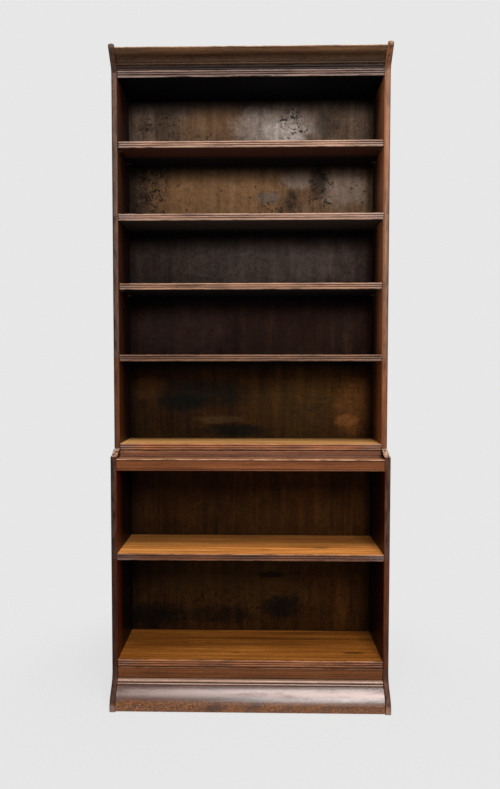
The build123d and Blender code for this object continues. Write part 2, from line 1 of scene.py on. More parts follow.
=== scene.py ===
"""A stacking oak bookcase, dressed in worn, waxed oak and lit in a pale studio."""
import logging
import math
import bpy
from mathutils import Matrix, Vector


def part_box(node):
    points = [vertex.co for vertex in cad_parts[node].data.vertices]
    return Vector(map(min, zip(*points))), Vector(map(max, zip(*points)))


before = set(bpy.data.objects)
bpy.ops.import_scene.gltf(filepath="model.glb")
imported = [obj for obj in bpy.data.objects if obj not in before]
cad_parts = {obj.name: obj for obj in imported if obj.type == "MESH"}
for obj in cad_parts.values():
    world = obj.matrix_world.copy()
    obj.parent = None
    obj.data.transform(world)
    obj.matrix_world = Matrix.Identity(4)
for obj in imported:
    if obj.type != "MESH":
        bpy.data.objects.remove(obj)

import zlib
from dataclasses import dataclass, replace
from enum import Enum

import bmesh
import bpy
from mathutils import Vector

LOG = logging.getLogger("bookcase")

# How a piece's name becomes a number that moves its grain
SEED_COUNT = 997
SEED_DIVISOR = 10.0

# Sockets of a colour Mix node
MIX_FACTOR = 0
MIX_FIRST = 6
MIX_SECOND = 7
MIX_RESULT = 2

# How strongly a face must look down to count as an underside, from none of it to all of it
UNDERSIDE = (-0.5, -0.9)

Colour = tuple[float, float, float]
Triple = tuple[float, float, float]
Socket = bpy.types.NodeSocket


class Grain(Enum):
    """The direction in which a board's fibres run, as the index of the axis."""

    ALONG = 0
    UPRIGHT = 2


class Edge(Enum):
    """How a patch on a back ends: as a soft cloud, or broken into separate speckles."""

    CLOUD = 0
    SPECKLE = 1


class Cut(Enum):
    """How a board was sawn from the log, which sets how much silver figure it shows."""

    FLAT = 0.0
    RIFT = 0.35
    QUARTERED = 1.0


def scaled(colour: Colour, factor: float, lift: float = 0.0) -> Colour:
    """A colour made darker or lighter, with no part of it over 1.

    Args:
        colour: the colour to start from.
        factor: what each part is multiplied by.
        lift: what is then added to each part.

    Returns:
        The new colour.
    """
    red, green, blue = (min(1.0, part * factor + lift) for part in colour)
    return red, green, blue


class Graph:
    """A material's node tree, built through one method for nodes and a few for common textures."""

    def __init__(self, tree: bpy.types.NodeTree) -> None:
        """Starts from an empty tree.

        Args:
            tree: the node tree of a material or a world.
        """
        self.tree = tree
        self.tree.nodes.clear()

    def node(self, kind: str, settings: dict | None = None, inputs: dict | None = None) -> bpy.types.Node:
        """Adds one node.

        Args:
            kind: the node's type name.
            settings: attributes that are set first, such as an operation; "stops" fills a ramp.
            inputs: socket names or numbers, with a plain value, a Value or a socket to link.

        Returns:
            The new node.
        """
        made = self.tree.nodes.new(kind)
        for name, value in (settings or {}).items():
            if name == "stops":
                self._fill_ramp(made.color_ramp, value)
            else:
                setattr(made, name, value)
        for name, value in (inputs or {}).items():
            self.feed(made.inputs[name], value)
        return made

    def feed(self, socket: Socket, value: object) -> None:
        """Sets a socket to a plain value, or links it.

        Args:
            socket: the input to fill.
            value: a number, a tuple, a Value or an output socket.
        """
        if isinstance(value, Value):
            self.tree.links.new(value.socket, socket)
        elif isinstance(value, Socket):
            self.tree.links.new(value, socket)
        else:
            socket.default_value = value

    @staticmethod
    def _fill_ramp(ramp: bpy.types.ColorRamp, stops: list[tuple[float, Colour]]) -> None:
        """Gives a colour ramp its stops.

        Args:
            ramp: the ramp of a new node, which has two stops.
            stops: pairs of position and colour, in order.
        """
        while len(ramp.elements) < len(stops):
            ramp.elements.new(0.5)
        for element, (position, colour) in zip(ramp.elements, stops):
            element.position = position
            element.color = (*colour, 1.0)

    def value(self, socket: Socket) -> "Value":
        """A number socket that can be used in sums."""
        return Value(self, socket)

    def mapped(self, vector: Socket, scale: Triple, shift: Triple = (0.0, 0.0, 0.0)) -> Socket:
        """Coordinates scaled and shifted.

        Args:
            vector: the coordinates to start from.
            scale: the factor on each axis.
            shift: what is added on each axis afterwards.

        Returns:
            The output socket with the new coordinates.
        """
        made = self.node(
            "ShaderNodeMapping",
            {"vector_type": "POINT"},
            {"Vector": vector, "Scale": scale, "Location": shift},
        )
        return made.outputs["Vector"]

    def noise(
        self, vector: Socket, scale: float = 1.0, detail: float = 4.0, rough: float = 0.55, twist: float = 0.0
    ) -> "Value":
        """Soft noise between 0 and 1.

        Args:
            vector: the coordinates.
            scale: cells per unit of the coordinates.
            detail: how many finer layers it has.
            rough: how strong the finer layers are.
            twist: how far the coordinates are bent.

        Returns:
            The noise as a Value.
        """
        made = self.node(
            "ShaderNodeTexNoise",
            {"noise_dimensions": "3D"},
            {"Vector": vector, "Scale": scale, "Detail": detail, "Roughness": rough, "Distortion": twist},
        )
        return Value(self, made.outputs["Fac"])

    def cells(self, vector: Socket, scale: float) -> "Value":
        """Distance to the nearest of a set of scattered points.

        Args:
            vector: the coordinates.
            scale: points per unit of the coordinates.

        Returns:
            The distance as a Value.
        """
        made = self.node("ShaderNodeTexVoronoi", {"feature": "F1"}, {"Vector": vector, "Scale": scale})
        return Value(self, made.outputs["Distance"])

    def ramp(self, amount: "Value", stops: list[tuple[float, Colour]]) -> Socket:
        """A colour looked up between stops.

        Args:
            amount: where to look, between 0 and 1.
            stops: pairs of position and colour.

        Returns:
            The colour socket.
        """
        return self.node("ShaderNodeValToRGB", {"stops": stops}, {"Fac": amount}).outputs["Color"]

    def mix(self, amount: object, first: object, second: object, way: str = "MIX") -> Socket:
        """Two colours mixed.

        Args:
            amount: how much of the second, as a number or a Value.
            first: a colour or a colour socket.
            second: a colour or a colour socket.
            way: the blend type.

        Returns:
            The colour socket.
        """
        made = self.node("ShaderNodeMix", {"data_type": "RGBA", "blend_type": way, "clamp_factor": True})
        self.feed(made.inputs[MIX_FACTOR], amount)
        self.feed(made.inputs[MIX_FIRST], self._with_alpha(first))
        self.feed(made.inputs[MIX_SECOND], self._with_alpha(second))
        return made.outputs[MIX_RESULT]

    @staticmethod
    def _with_alpha(colour: object) -> object:
        """A plain colour with its fourth number; a socket is passed through."""
        return (*colour, 1.0) if isinstance(colour, tuple) else colour

    def grey(self, amount: "Value") -> Socket:
        """A number turned into a grey colour, for multiplying colours."""
        return self.node("ShaderNodeCombineColor", {}, {0: amount, 1: amount, 2: amount}).outputs[0]


class Value:
    """A number socket: sums written with it add Math nodes to its graph."""

    def __init__(self, graph: Graph, socket: Socket) -> None:
        """Wraps a socket.

        Args:
            graph: the graph that the socket belongs to.
            socket: the output socket.
        """
        self.graph = graph
        self.socket = socket

    def _sum(self, operation: str, first: object, second: object = 0.0, clamp: bool = False) -> "Value":
        """Adds one Math node.

        Args:
            operation: the node's operation.
            first: its first operand.
            second: its second operand.
            clamp: whether the result is kept between 0 and 1.

        Returns:
            The result.
        """
        made = self.graph.node(
            "ShaderNodeMath", {"operation": operation, "use_clamp": clamp}, {0: first, 1: second}
        )
        return Value(self.graph, made.outputs[0])

    def __add__(self, other: object) -> "Value":
        """self + other"""
        return self._sum("ADD", self, other)

    def __radd__(self, other: object) -> "Value":
        """other + self"""
        return self._sum("ADD", other, self)

    def __sub__(self, other: object) -> "Value":
        """self - other"""
        return self._sum("SUBTRACT", self, other)

    def __rsub__(self, other: object) -> "Value":
        """other - self"""
        return self._sum("SUBTRACT", other, self)

    def __mul__(self, other: object) -> "Value":
        """self * other"""
        return self._sum("MULTIPLY", self, other)

    def __rmul__(self, other: object) -> "Value":
        """other * self"""
        return self._sum("MULTIPLY", other, self)

    def __truediv__(self, other: object) -> "Value":
        """self / other"""
        return self._sum("DIVIDE", self, other)

    def __rtruediv__(self, other: object) -> "Value":
        """other / self"""
        return self._sum("DIVIDE", other, self)

    def magnitude(self) -> "Value":
        """The value without its sign."""
        return self._sum("ABSOLUTE", self)

    def clamped(self) -> "Value":
        """The value kept between 0 and 1."""
        return self._sum("ADD", self, 0.0, clamp=True)

    def over(self, low: float, high: float) -> "Value":
        """A soft step: 0 below the low limit and 1 above the high one.

        Args:
            low: where the step starts.
            high: where it ends; below low, the step falls instead of rising.

        Returns:
            The step as a Value.
        """
        made = self.graph.node(
            "ShaderNodeMapRange",
            {"interpolation_type": "SMOOTHSTEP"},
            {"Value": self, "From Min": min(low, high), "From Max": max(low, high)},
        )
        step = Value(self.graph, made.outputs["Result"])
        return step if high > low else 1.0 - step


@dataclass(frozen=True)
class Figure:
    """A noise drawn out along the fibres: its cells per metre each way, and how fine and bent it is."""

    along: float
    across: float
    detail: float = 4.0
    rough: float = 0.55
    twist: float = 0.0


FIBRES = Figure(along=11.0, across=240.0, detail=6.0, rough=0.65)
HAIR = Figure(along=30.0, across=900.0, detail=2.0)
TONE_PATCHES = Figure(along=2.6, across=6.0, detail=3.0)
PORES = Figure(along=75.0, across=1300.0, detail=1.0)
SILVER_FLECKS = Figure(along=95.0, across=150.0, detail=2.0, twist=1.2)
WORN_BREAKS = Figure(along=22.0, across=90.0)
TOP_STREAKS = Figure(along=3.5, across=85.0, detail=6.0, rough=0.7, twist=0.5)
TOP_CRUMBS = Figure(along=60.0, across=260.0, rough=0.7)
FRONT_RUB = Figure(along=7.0, across=70.0, detail=6.0, rough=0.65)
END_RUB = Figure(along=5.0, across=70.0)
FOOT_WOBBLE = Figure(along=5.0, across=20.0, detail=3.0)
MOTTLE_CLOUDS = Figure(along=14.0, across=34.0, detail=3.0)
# Breaks up the painted highlight on a moulding's brow
BROW_HIGHLIGHT_BREAKS = Figure(along=9.0, across=40.0)


@dataclass(frozen=True)
class Surface:
    """What a finish reads about the piece that it is put on, in metres."""

    low: Vector
    high: Vector
    seed: float

    @classmethod
    def of(cls, node: str) -> "Surface":
        """The box of a part and a number of its own.

        Args:
            node: the part's name.

        Returns:
            The surface's facts.
        """
        low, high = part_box(node)
        return cls(low, high, (zlib.crc32(node.encode()) % SEED_COUNT) / SEED_DIVISOR)


def new_material(name: str) -> tuple[bpy.types.Material, Graph]:
    """Starts a material with an empty node tree.

    Args:
        name: the material's name.

    Returns:
        The material and the graph that fills it.
    """
    material = bpy.data.materials.new(name)
    material.use_nodes = True
    return material, Graph(material.node_tree)


def put_on(node: str, material: bpy.types.Material, graph: Graph, shader: bpy.types.Node) -> None:
    """Ends a material's graph and makes it the only material of a part.

    Args:
        node: the part's name.
        material: the finished material.
        graph: the material's graph.
        shader: the shader that the surface shows.
    """
    output = graph.node("ShaderNodeOutputMaterial")
    graph.feed(output.inputs["Surface"], shader.outputs["BSDF"])
    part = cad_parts[node]
    part.data.materials.clear()
    part.data.materials.append(material)


@dataclass(frozen=True)
class Oak:
    """Old waxed oak: fibres, open pores, silver figure, dirt, and paler arrises that are worn and carry a
    painted highlight.
    """

    name: str
    dark: Colour
    middle: Colour
    light: Colour
    grain: Grain = Grain.ALONG
    cut: Cut = Cut.RIFT
    worn: Colour = (0.36, 0.19, 0.12)
    wear_and_highlight: float = 0.0
    wear_width: float = 0.0022
    wax: float = 0.04
    roughness: float = 0.46
    blotch: float = 0.35
    figure_width: float = 0.030
    relief: float = 0.35
    specular: float = 0.22

    def coordinates(self, graph: Graph, surface: Surface) -> Socket:
        """The part's own coordinates, moved along by its number so that no two boards match."""
        raw = graph.node("ShaderNodeTexCoord").outputs["Object"]
        return graph.mapped(raw, (1.0, 1.0, 1.0), (surface.seed, surface.seed * 0.37, surface.seed * 0.73))

    def stretched(self, graph: Graph, vector: Socket, along: float, across: float) -> Socket:
        """Coordinates squeezed across the fibres.

        Args:
            graph: the material's graph.
            vector: the part's coordinates.
            along: cells per metre along the fibres.
            across: cells per metre across them.

        Returns:
            The new coordinates.
        """
        scale = [across, across, across]
        scale[self.grain.value] = along
        return graph.mapped(vector, tuple(scale))

    def drawn(self, graph: Graph, vector: Socket, figure: Figure) -> Value:
        """A noise laid along this wood's fibres.

        Args:
            graph: the material's graph.
            vector: the part's coordinates.
            figure: how the noise is drawn out.

        Returns:
            The noise as a Value.
        """
        spread = self.stretched(graph, vector, figure.along, figure.across)
        return graph.noise(spread, detail=figure.detail, rough=figure.rough, twist=figure.twist)

    def wood(self, graph: Graph, vector: Socket) -> tuple[Socket, Value, Value]:
        """The bare wood.

        Args:
            graph: the material's graph.
            vector: the part's coordinates.

        Returns:
            Its colour, its fibres between 0 and 1, and its pores between 0 and 1.
        """
        growth = Figure(along=1.9, across=1.0 / self.figure_width, detail=5.0, twist=0.7)
        bands = self.drawn(graph, vector, growth)
        fibres = self.drawn(graph, vector, FIBRES)
        hair = self.drawn(graph, vector, HAIR)
        patches = self.drawn(graph, vector, TONE_PATCHES)
        pores = self.drawn(graph, vector, PORES).over(0.60, 0.70)
        tone = (bands * 0.62 + fibres * 0.28 + hair * 0.10).clamped()
        colour = graph.ramp(tone, [(0.35, self.dark), (0.50, self.middle), (0.65, self.light)])
        shade = (1.0 - self.blotch) + patches * (2.0 * self.blotch)
        colour = graph.mix(1.0, colour, graph.grey(shade), "MULTIPLY")
        colour = graph.mix(pores * 0.55, colour, scaled(self.dark, 0.35))
        if self.cut.value > 0.0:
            flecks = self.drawn(graph, vector, SILVER_FLECKS)
            silver = flecks.over(0.56, 0.66) * bands.over(0.40, 0.62) * (0.5 * self.cut.value)
            colour = graph.mix(silver, colour, scaled(self.light, 1.9, 0.02))
        return colour, fibres, pores

    def arris(self, graph: Graph, surface: Surface) -> Value | None:
        """Where the part is worn and carries a painted highlight: its long arrises, broken up by use. Plain
        parts have none.
        """
        return None

    def tinted(self, graph: Graph, surface: Surface, vector: Socket, colour: Socket) -> Socket:
        """The wood's colour with whatever lies on it; plain parts have nothing more."""
        return colour

    def dulled(self, graph: Graph) -> Value | float:
        """How much rougher than the rest a face is left; plain parts are even."""
        return 0.0

    def dress(self, node: str) -> None:
        """Puts the finish on a part.

        Args:
            node: the part's name.
        """
        surface = Surface.of(node)
        material, graph = new_material(f"{self.name}_{node}")
        vector = self.coordinates(graph, surface)
        colour, fibres, pores = self.wood(graph, vector)
        colour = self.tinted(graph, surface, vector, colour)
        smear = graph.noise(vector, scale=9.0, detail=3.0)
        roughness = self.roughness - 0.12 + smear * 0.20 + pores * 0.12
        # The arris mask holds real wear together with a painted highlight along the arrises
        worn = self.arris(graph, surface)
        if worn is not None:
            broken = self.drawn(graph, vector, WORN_BREAKS).over(0.30, 0.62)
            amount = (worn * broken * self.wear_and_highlight).clamped()
            colour = graph.mix(amount, colour, self.worn)
            roughness = roughness - amount * 0.06
        roughness = roughness + self.dulled(graph)
        height = fibres * 0.5 - pores * 0.8 + smear * 0.25
        bump = graph.node(
            "ShaderNodeBump", {}, {"Height": height, "Strength": self.relief, "Distance": 0.0006}
        )
        shader = graph.node(
            "ShaderNodeBsdfPrincipled",
            {},
            {
                "Base Color": colour,
                "Roughness": roughness.clamped(),
                "Coat Weight": self.wax,
                "Coat Roughness": 0.22,
                "Specular IOR Level": self.specular,
                "Normal": bump.outputs["Normal"],
            },
        )
        put_on(node, material, graph, shader)


def axes_of(graph: Graph) -> tuple[Value, Value, Value]:
    """The part's own X, Y and Z in metres.

    Args:
        graph: the material's graph.

    Returns:
        The three coordinates.
    """
    raw = graph.node("ShaderNodeTexCoord").outputs["Object"]
    split = graph.node("ShaderNodeSeparateXYZ", {}, {0: raw})
    return graph.value(split.outputs[0]), graph.value(split.outputs[1]), graph.value(split.outputs[2])


def facing(graph: Graph) -> tuple[Value, Value, Value]:
    """The X, Y and Z of the direction that the surface faces, in the part's own axes.

    Args:
        graph: the material's graph.

    Returns:
        The three components.
    """
    raw = graph.node("ShaderNodeTexCoord").outputs["Normal"]
    split = graph.node("ShaderNodeSeparateXYZ", {}, {0: raw})
    return graph.value(split.outputs[0]), graph.value(split.outputs[1]), graph.value(split.outputs[2])


@dataclass(frozen=True)
class BoardOak(Oak):
    """A board or shelf: a golden top, painted shade on its underside and a front edge with rubbed reeds."""

    front_colour: Colour = (0.24, 0.10, 0.050)
    # Painted shade on the underside: a dark colour at its front, fading to near black further back
    under_front: Colour = (0.050, 0.017, 0.009)
    under_deep: Colour = (0.006, 0.003, 0.003)
    # How much painted shade darkens the top towards the back; a negative value paints light there instead
    back_shade: float = 0.45
    end_grey: Colour = (0.13, 0.095, 0.085)
    front_depth: float = 0.007
    under_reach: float = 0.110
    under_fade: float = 0.060
    knots: tuple[tuple[float, float, float], ...] = ()
    streak: float = 0.45
    front_strip: float = 0.020
    # Where painted shade darkens the top most, as it meets the back
    corner_shade_start: float = 0.022
    corner_shade_end: float = 0.004
    # Where the painted shade in the front edge's quirks lies
    quirk_floor: float = 0.0012
    quirk_mouth: float = 0.0022
    grey_reach: float = 0.10

    def arris(self, graph: Graph, surface: Surface) -> Value:
        """Worn along the top and bottom arrises of the front edge, with a painted highlight along them.

        Args:
            graph: the material's graph.
            surface: the board's box.

        Returns:
            The wear and painted highlight as a Value.
        """
        _, y, z = axes_of(graph)
        top = (z - surface.high.z).magnitude().over(self.wear_width, 0.0)
        bottom = (z - surface.low.z).magnitude().over(self.wear_width, 0.0)
        near_front = y.over(surface.low.y + self.front_depth, surface.low.y + self.front_depth * 0.5)
        return (top + bottom) * near_front

    def dulled(self, graph: Graph) -> Value:
        """The underside was never polished."""
        _, _, up = facing(graph)
        return up.over(*UNDERSIDE) * 0.5

    def top_face(self, graph: Graph, surface: Surface, vector: Socket, colour: Socket) -> Socket:
        """Streaks, knots and painted shade towards the back of a board's top.

        Args:
            graph: the material's graph.
            surface: the board's box.
            vector: the board's coordinates.
            colour: the bare wood's colour.

        Returns:
            The colour socket.
        """
        x, y, _ = axes_of(graph)
        streaks = self.drawn(graph, vector, TOP_STREAKS)
        crumbs = self.drawn(graph, vector, TOP_CRUMBS)
        uneven = (1.0 - self.streak) + streaks * self.streak * 2.0
        colour = graph.mix(1.0, colour, graph.grey(uneven), "MULTIPLY")
        colour = graph.mix(1.0, colour, graph.grey(0.72 + crumbs * 0.56), "MULTIPLY")
        for place_x, place_y, radius in self.knots:
            across = (x - place_x) / (radius * 3.5)
            along = (y - place_y) / radius
            knot = (across * across + along * along).over(1.3, 0.1) * streaks.over(0.25, 0.60)
            colour = graph.mix(knot * 0.85, colour, scaled(self.dark, 0.12))
        # Painted shade: the top darkens towards the back and most where it meets the back
        deep = y.over(surface.low.y + self.front_strip, surface.high.y)
        meeting = y.over(surface.high.y - self.corner_shade_start, surface.high.y - self.corner_shade_end)
        shade = (1.0 - deep * self.back_shade) * (1.0 - (meeting * 1.6 - streaks * 0.9).clamped() * 0.85)
        return graph.mix(1.0, colour, graph.grey(shade), "MULTIPLY")

    def front_edge(self, graph: Graph, surface: Surface, vector: Socket) -> Socket:
        """The rubbed reeds of the front edge, with painted shade in their quirks.

        Args:
            graph: the material's graph.
            surface: the board's box.
            vector: the board's coordinates.

        Returns:
            The colour socket.
        """
        x, y, _ = axes_of(graph)
        rubbed = self.drawn(graph, vector, FRONT_RUB)
        dim = scaled(self.front_colour, 0.45)
        clear = scaled(self.front_colour, 1.35)
        wood = graph.ramp(rubbed, [(0.36, dim), (0.62, clear)])
        side = x.magnitude().over(surface.high.x - self.grey_reach, surface.high.x)
        wood = graph.mix(side * rubbed.over(0.35, 0.60) * 0.7, wood, self.end_grey)
        # Painted shade in the quirks behind the reeds' fronts
        quirk = y.over(surface.low.y + self.quirk_floor, surface.low.y + self.quirk_mouth)
        return graph.mix(quirk * 0.92, wood, scaled(self.front_colour, 0.08))

    def tinted(self, graph: Graph, surface: Surface, vector: Socket, colour: Socket) -> Socket:
        """Puts together the top, the front edge and the underside.

        Args:
            graph: the material's graph.
            surface: the part's box.
            vector: the part's coordinates.
            colour: the bare wood's colour.

        Returns:
            The colour socket.
        """
        _, y, _ = axes_of(graph)
        _, _, up = facing(graph)
        colour = self.top_face(graph, surface, vector, colour)
        front = y.over(surface.low.y + self.front_depth, surface.low.y + self.front_depth * 0.6)
        colour = graph.mix(front, colour, self.front_edge(graph, surface, vector))
        # Painted shade on the underside, darker further back
        start = surface.low.y + self.under_reach
        below = graph.mix(y.over(start, start + self.under_fade), self.under_front, self.under_deep)
        return graph.mix(up.over(*UNDERSIDE), colour, below)


@dataclass(frozen=True)
class EndOak(Oak):
    """An end board: warm rounded front arris, reddish inner face under painted shade that deepens inward,
    plain outside.
    """

    # Painted shade on the inner face: lit near the front, near black further in
    inner_front: Colour = (0.075, 0.022, 0.010)
    inner_deep: Colour = (0.010, 0.003, 0.002)
    arris_colour: Colour = (0.16, 0.075, 0.045)
    inner_reach: float = 0.10
    inner_start: float = 0.02
    arris_start: float = 0.004
    arris_end: float = 0.001
    top_wear_and_highlight: float = 0.0
    wax: float = 0.02
    specular: float = 0.12

    def arris(self, graph: Graph, surface: Surface) -> Value:
        """Worn along the rounded front edge and, where the top is open, on top, with a painted highlight on
        both.

        Args:
            graph: the material's graph.
            surface: the end's box.

        Returns:
            The wear and painted highlight as a Value.
        """
        _, y, _ = axes_of(graph)
        _, _, up = facing(graph)
        front = y.over(surface.low.y + self.arris_start, surface.low.y + self.arris_end)
        # Up-facing tops get a painted highlight as well as wear
        return front + up.over(0.30, 0.75) * self.top_wear_and_highlight

    def tinted(self, graph: Graph, surface: Surface, vector: Socket, colour: Socket) -> Socket:
        """Warms the front edge and paints shade on the inner face, darker towards the back.

        Args:
            graph: the material's graph.
            surface: the part's box.
            vector: the part's coordinates.
            colour: the bare wood's colour.

        Returns:
            The colour socket.
        """
        _, y, _ = axes_of(graph)
        sideways, forward, _ = facing(graph)
        rubbed = self.drawn(graph, vector, END_RUB)
        front = forward.over(-0.15, -0.75)
        dim = scaled(self.arris_colour, 0.45)
        clear = scaled(self.arris_colour, 1.40)
        edge = graph.ramp(rubbed, [(0.36, dim), (0.62, clear)])
        colour = graph.mix(front, colour, edge)
        # Painted shade on the inner face, deepening towards the back
        side = -1.0 if surface.high.x > 0.0 else 1.0
        inner = (sideways * side).over(0.55, 0.90)
        start = surface.low.y + self.inner_start
        inward = y.over(start, start + self.inner_reach)
        inside = graph.mix(inward, self.inner_front, self.inner_deep)
        inside = graph.mix(1.0, inside, graph.grey(0.45 + rubbed * 1.1), "MULTIPLY")
        return graph.mix(inner, colour, inside)


@dataclass(frozen=True)
class MouldedOak(Oak):
    """A moulding: painted shade on its foot, a painted highlight on its brow and, if asked, mottled figure
    low on its face.
    """

    # Painted shade on the lower face of the moulding
    foot: Colour = (0.05, 0.026, 0.020)
    foot_share: float = 0.5
    mottle: float = 0.0
    mottle_colour: Colour = (0.30, 0.14, 0.05)
    # Painted highlight along the brow, stronger to the right
    brow: float = 0.0
    brow_colour: Colour = (0.42, 0.28, 0.20)
    brow_rise: float = 0.0
    # Heights of painted shade lines in the quirks
    quirks: tuple[float, ...] = ()
    quirk_width: float = 0.0011

    def arris(self, graph: Graph, surface: Surface) -> Value:
        """Worn along the topmost arris, with a painted highlight along it."""
        _, _, z = axes_of(graph)
        return z.over(surface.high.z - self.wear_width * 1.5, surface.high.z - self.wear_width * 0.3)

    def tinted(self, graph: Graph, surface: Surface, vector: Socket, colour: Socket) -> Socket:
        """Paints shade on the moulding's foot, a highlight on its brow and shade lines in its quirks.

        Args:
            graph: the material's graph.
            surface: the part's box.
            vector: the part's coordinates.
            colour: the bare wood's colour.

        Returns:
            The colour socket.
        """
        x, _, z = axes_of(graph)
        tall = surface.high.z - surface.low.z
        height = (z - surface.low.z) / tall
        wobble = self.drawn(graph, vector, FOOT_WOBBLE) * 0.3 - 0.15
        low = (height + wobble).over(self.foot_share + 0.12, self.foot_share - 0.12)
        # Painted shade on the foot
        colour = graph.mix(low * 0.8, colour, self.foot)
        if self.mottle > 0.0:
            fine = graph.mapped(vector, (270.0, 240.0, 420.0))
            flecks = graph.noise(fine, detail=3.0, rough=0.65, twist=0.8)
            clouds = self.drawn(graph, vector, MOTTLE_CLOUDS)
            mask = flecks.over(0.45, 0.62) * clouds.over(0.22, 0.52) * low
            colour = graph.mix(mask * self.mottle, colour, self.mottle_colour)
        # Painted highlight on the brow, broken up by noise and growing to the right
        if self.brow > 0.0:
            rubbed = self.drawn(graph, vector, BROW_HIGHLIGHT_BREAKS)
            band = (height - 0.76).magnitude().over(0.22, 0.02)
            rise = 1.0 - (0.5 - x / (surface.high.x * 2.0)) * self.brow_rise
            colour = graph.mix(band * rubbed.over(0.20, 0.60) * rise * self.brow, colour, self.brow_colour)
        # Painted shade lines in the quirks
        for quirk in self.quirks:
            line = (z - (surface.low.z + quirk)).magnitude().over(self.quirk_width, self.quirk_width * 0.3)
            colour = graph.mix(line * 0.9, colour, scaled(self.dark, 0.10))
        return colour


@dataclass(frozen=True)
class Patch:
    """Dust, stain or a painted reflection on a back: its middle across and above the foot, reach, colour and
    strength.
    """

    across: float
    above: float
    reach_across: float
    reach_up: float
    colour: Colour
    strength: float
    edge: Edge = Edge.CLOUD


@dataclass(frozen=True)
class BackOak(Oak):
    """An unpolished back: upright figure, clouds of dust and stain, painted shade along its edges and under
    the boards above, and painted light towards the right.
    """

    dust: Colour = (0.16, 0.13, 0.11)
    dust_amount: float = 0.5
    stain: Colour = (0.010, 0.006, 0.004)
    stain_amount: float = 0.5
    lower_tint: Colour = (1.0, 1.0, 1.0)
    split: float = 0.5
    spots: float = 0.0
    # Painted light: how much lighter the back grows towards the right
    right_light_gain: float = 0.25
    patches: tuple[Patch, ...] = ()
    # Painted shadow at the back's foot and under each named board above it
    foot_shadow: float = 0.6
    ceilings: tuple[str, ...] = ()
    waviness: float = 1.4
    ceiling_reach: float = 0.080
    ceiling_shadow: float = 0.97
    ceiling_overlap: float = 0.004
    upper_start: float = 0.012
    upper_end: float = 0.010
    side_start: float = 0.045
    side_end: float = 0.010
    rear_dark: Colour = (0.070, 0.042, 0.024)
    rear_light: Colour = (0.190, 0.120, 0.072)

    def patched(self, graph: Graph, surface: Surface, vector: Socket, colour: Socket) -> Socket:
        """Lays each patch on the wood, its edge broken up by noise.

        Args:
            graph: the material's graph.
            surface: the back's box.
            vector: the back's coordinates.
            colour: the wood's colour so far.

        Returns:
            The colour socket.
        """
        x, _, z = axes_of(graph)
        swirl = graph.noise(vector, scale=15.0, detail=5.0, rough=0.65, twist=2.2)
        crumbs = graph.noise(vector, scale=62.0, detail=6.0, rough=0.72, twist=0.9)
        crumble = (swirl - 0.5) * 2.2 + (crumbs - 0.5) * 1.6
        flakes = crumbs.over(0.515, 0.585)
        for patch in self.patches:
            across = (x - patch.across) / patch.reach_across
            upward = (z - (surface.low.z + patch.above)) / patch.reach_up
            inside = (across * across + upward * upward).over(1.6, 0.0)
            if patch.edge is Edge.SPECKLE:
                mask = (inside * 1.6 + (swirl - 0.5) * 1.5).over(0.2, 0.8) * flakes
            else:
                mask = (inside * 1.3 + crumble * inside.over(0.0, 0.25)).over(0.10, 1.45)
            colour = graph.mix(mask * patch.strength, colour, patch.colour)
        return colour

    def tinted(self, graph: Graph, surface: Surface, vector: Socket, colour: Socket) -> Socket:
        """Lays dust, stains and ink spots on the bare back, then painted shade at its sides, its foot and
        under each board above, and painted light towards the right.

        Args:
            graph: the material's graph.
            surface: the part's box.
            vector: the part's coordinates.
            colour: the bare wood's colour.

        Returns:
            The colour socket.
        """
        x, _, z = axes_of(graph)
        tall = surface.high.z - surface.low.z
        height = (z - surface.low.z) / tall
        streaks = graph.noise(graph.mapped(vector, (38.0, 38.0, 5.0)), detail=5.0, rough=0.6)
        clouds = graph.noise(vector, scale=7.0, detail=5.0, rough=0.62, twist=1.4)
        wavy = graph.mapped(vector, (16.0, 16.0, 16.0 * self.waviness))
        mottle = graph.noise(wavy, detail=5.0, rough=0.7, twist=1.8)
        grit = graph.noise(graph.mapped(vector, (190.0, 190.0, 120.0)), detail=3.0, rough=0.7, twist=0.6)
        dusty = clouds.over(0.44, 0.64) * streaks.over(0.25, 0.75)
        stained = mottle.over(0.52, 0.66) * clouds.over(0.60, 0.40)
        colour = graph.mix(dusty * self.dust_amount, colour, self.dust)
        colour = graph.mix(stained * self.stain_amount, colour, self.stain)
        lower = height.over(self.split + 0.05, self.split - 0.05)
        colour = graph.mix(lower, colour, graph.mix(1.0, colour, self.lower_tint, "MULTIPLY"))
        colour = self.patched(graph, surface, vector, colour)
        if self.spots > 0.0:
            dots = graph.cells(vector, 30.0).over(0.20, 0.08) * clouds.over(0.46, 0.56)
            colour = graph.mix(dots * self.spots, colour, self.stain)
        texture = grit + (mottle - 0.5) * 1.5 + (streaks - 0.5) * 0.9 + 0.5
        # Painted shade: darker towards both sides, at the foot and in a band under each board above
        beside = x.magnitude().over(surface.high.x - self.side_start, surface.high.x - self.side_end)
        keep = 1.0 - beside * 0.6
        keep = keep * (1.0 - height.over(0.035, 0.0) * self.foot_shadow)
        for name in self.ceilings:
            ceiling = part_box(name)[0].z
            uneven = z + (mottle - 0.5) * 0.03
            band = uneven.over(ceiling - self.ceiling_reach, ceiling + self.ceiling_overlap)
            below = z.over(ceiling + self.upper_start, ceiling + self.upper_end)
            keep = keep * (1.0 - band * below * self.ceiling_shadow)
        # Painted light: the back grows lighter towards the right
        gain = 1.0 + (x / surface.high.x) * self.right_light_gain
        colour = graph.mix(1.0, colour, graph.grey(gain * keep * texture), "MULTIPLY")
        _, rearward, _ = facing(graph)
        grain = streaks * 0.55 + grit * 0.25 + clouds * 0.20
        bare = graph.ramp(grain, [(0.36, self.rear_dark), (0.62, self.rear_light)])
        return graph.mix(rearward.over(0.30, 0.80), colour, bare)


